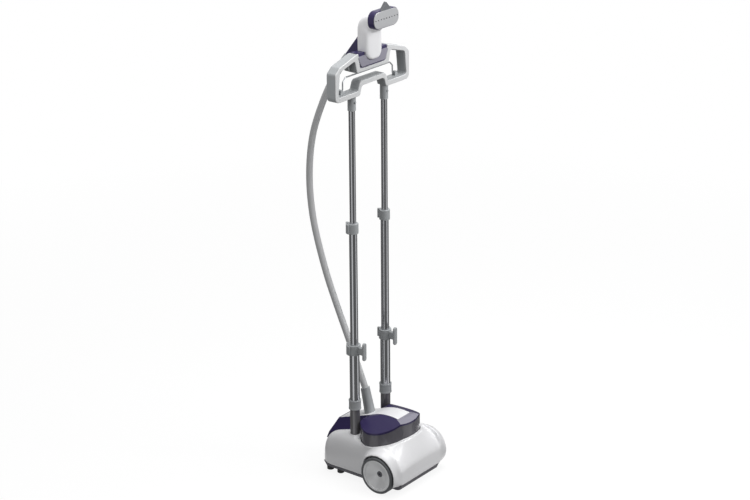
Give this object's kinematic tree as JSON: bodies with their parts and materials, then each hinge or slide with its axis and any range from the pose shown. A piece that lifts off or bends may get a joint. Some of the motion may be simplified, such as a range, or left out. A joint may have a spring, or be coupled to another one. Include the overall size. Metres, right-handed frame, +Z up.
{
  "type": "garment steamer",
  "caption": "Upright garment steamer: wheeled base with lift-out water tank, twin telescopic poles with clamp levers, clothes hanger with handset cradle, steam handset and hose.",
  "frame": {"origin": "centre of the footprint on the floor, measured without the hose", "axes": "+Z up along the poles, -Y towards the tank and the steam plate, +X to the right seen from the front"},
  "size_m": [0.34, 0.4283, 1.465],
  "materials": {
    "white": "glossy white",
    "violet": "glossy dark violet",
    "lavender": "satin pale lavender",
    "smoky": "smoky translucent",
    "grey": "satin mid grey",
    "light_grey": "satin light grey",
    "dark": "matte black",
    "foot_rubber": "matte black",
    "tyre": "matte dark",
    "tube_chrome": "bright chrome",
    "steel": "plain steel",
    "cast_aluminium": "cast, satin",
    "hose": "smooth grey",
    "silicone": "translucent white",
    "nylon": "natural"
  },
  "bodies": {
    "base": {"base_shell": "white", "base_tray": "dark", "tray_screws": "steel", "floor_feet": "foot_rubber", "axle": "steel", "rear_cowl": "violet", "rear_lid": "white", "boiler": "cast_aluminium", "boiler_cover": "cast_aluminium", "heating_element": "steel", "thermostat": "steel", "feed_tube": "silicone", "valve_receiver": "nylon", "steam_pipe": "steel", "hose_connector": "grey", "cord_gland": "dark", "switch_body": "dark", "pole_stubs": "tube_chrome", "union_collars": "grey", "lower_tubes": "tube_chrome", "lower_clamps": "grey", "cord_hooks": "grey", "lower_lever_pins": "steel", "hose_lower": "hose"},
    "left_wheel": {"left_wheel_hub": "light_grey", "left_tyre": "tyre"},
    "right_wheel": {"right_wheel_hub": "light_grey", "right_tyre": "tyre"},
    "tank": {"tank_bowl": "smoky", "tank_roof": "violet", "tank_lid": "white", "filler_cap": "nylon", "valve_spring": "steel"},
    "valve": {"valve_plunger": "nylon"},
    "power": {"power_button": "dark"},
    "middle": {"mid_tubes": "tube_chrome", "mid_clamps": "grey", "mid_bushes": "nylon", "mid_lever_pins": "steel", "hose_middle": "hose"},
    "top": {"top_tubes": "tube_chrome", "top_bushes": "nylon", "hanger_body": "grey", "hanger_trim": "light_grey", "cradle_body": "violet", "cradle_front": "lavender", "hose_upper": "hose"},
    "left_lower_clamp_lever": {"left_lower_lever": "grey"},
    "right_lower_clamp_lever": {"right_lower_lever": "grey"},
    "left_mid_clamp_lever": {"left_mid_lever": "grey"},
    "right_mid_clamp_lever": {"right_mid_lever": "grey"},
    "bail": {"trouser_bail": "steel"},
    "left_snap": {"left_snap_button": "grey"},
    "right_snap": {"right_snap_button": "grey"},
    "handset": {"handset_shell": "white", "handset_grip": "violet", "head_bezel": "violet", "steam_plate": "cast_aluminium", "handset_cuff": "grey", "steam_tube": "silicone"}
  },
  "joints": [
    {"name": "left_wheel_spin", "type": "hinge", "parent": "base", "child": "left_wheel", "pos_m": [0, -0.092, 0.0575], "axis": [1, 0, 0], "continuous": true},
    {"name": "right_wheel_spin", "type": "hinge", "parent": "base", "child": "right_wheel", "pos_m": [0, -0.092, 0.0575], "axis": [1, 0, 0], "continuous": true},
    {"name": "tank_lift", "type": "slide", "parent": "base", "child": "tank", "axis": [0, 0, 1], "range_m": [0, 0.11]},
    {"name": "valve_press", "type": "slide", "parent": "tank", "child": "valve", "axis": [0, 0, 1], "range_m": [0, 0.0025], "stiffness_N_per_m": 150, "deforming": ["valve_spring"]},
    {"name": "power_press", "type": "slide", "parent": "base", "child": "power", "axis": [0, -1, 0], "range_m": [0, 0.003], "stiffness_N_per_m": 400},
    {"name": "mid_slide", "type": "slide", "parent": "base", "child": "middle", "axis": [0, 0, 1], "range_m": [-0.3, 0], "deforming": ["hose_lower"]},
    {"name": "top_slide", "type": "slide", "parent": "middle", "child": "top", "axis": [0, 0, 1], "range_m": [-0.31, 0], "deforming": ["hose_middle"]},
    {"name": "left_lower_lever_turn", "type": "hinge", "parent": "base", "child": "left_lower_clamp_lever", "pos_m": [-0.075, 0.0585, 0.416], "axis": [0, 0, -1], "range_deg": [0, 95]},
    {"name": "left_mid_lever_turn", "type": "hinge", "parent": "middle", "child": "left_mid_clamp_lever", "pos_m": [-0.075, 0.0555, 0.799], "axis": [0, 0, -1], "range_deg": [0, 95]},
    {"name": "right_lower_lever_turn", "type": "hinge", "parent": "base", "child": "right_lower_clamp_lever", "pos_m": [0.075, 0.0585, 0.416], "axis": [0, 0, 1], "range_deg": [0, 95]},
    {"name": "right_mid_lever_turn", "type": "hinge", "parent": "middle", "child": "right_mid_clamp_lever", "pos_m": [0.075, 0.0555, 0.799], "axis": [0, 0, 1], "range_deg": [0, 95]},
    {"name": "bail_swing", "type": "hinge", "parent": "top", "child": "bail", "pos_m": [0, 0.034, 1.2205], "axis": [-1, 0, 0], "range_deg": [0, 90]},
    {"name": "left_snap_press", "type": "slide", "parent": "top", "child": "left_snap", "axis": [0, 1, 0], "range_m": [0, 0.003], "stiffness_N_per_m": 300},
    {"name": "right_snap_press", "type": "slide", "parent": "top", "child": "right_snap", "axis": [0, 1, 0], "range_m": [0, 0.003], "stiffness_N_per_m": 300},
    {"name": "handset_lift", "type": "slide", "parent": "top", "child": "handset", "axis": [0, 0, 1], "range_m": [0, 0.1], "deforming": ["hose_upper"]}
  ]
}
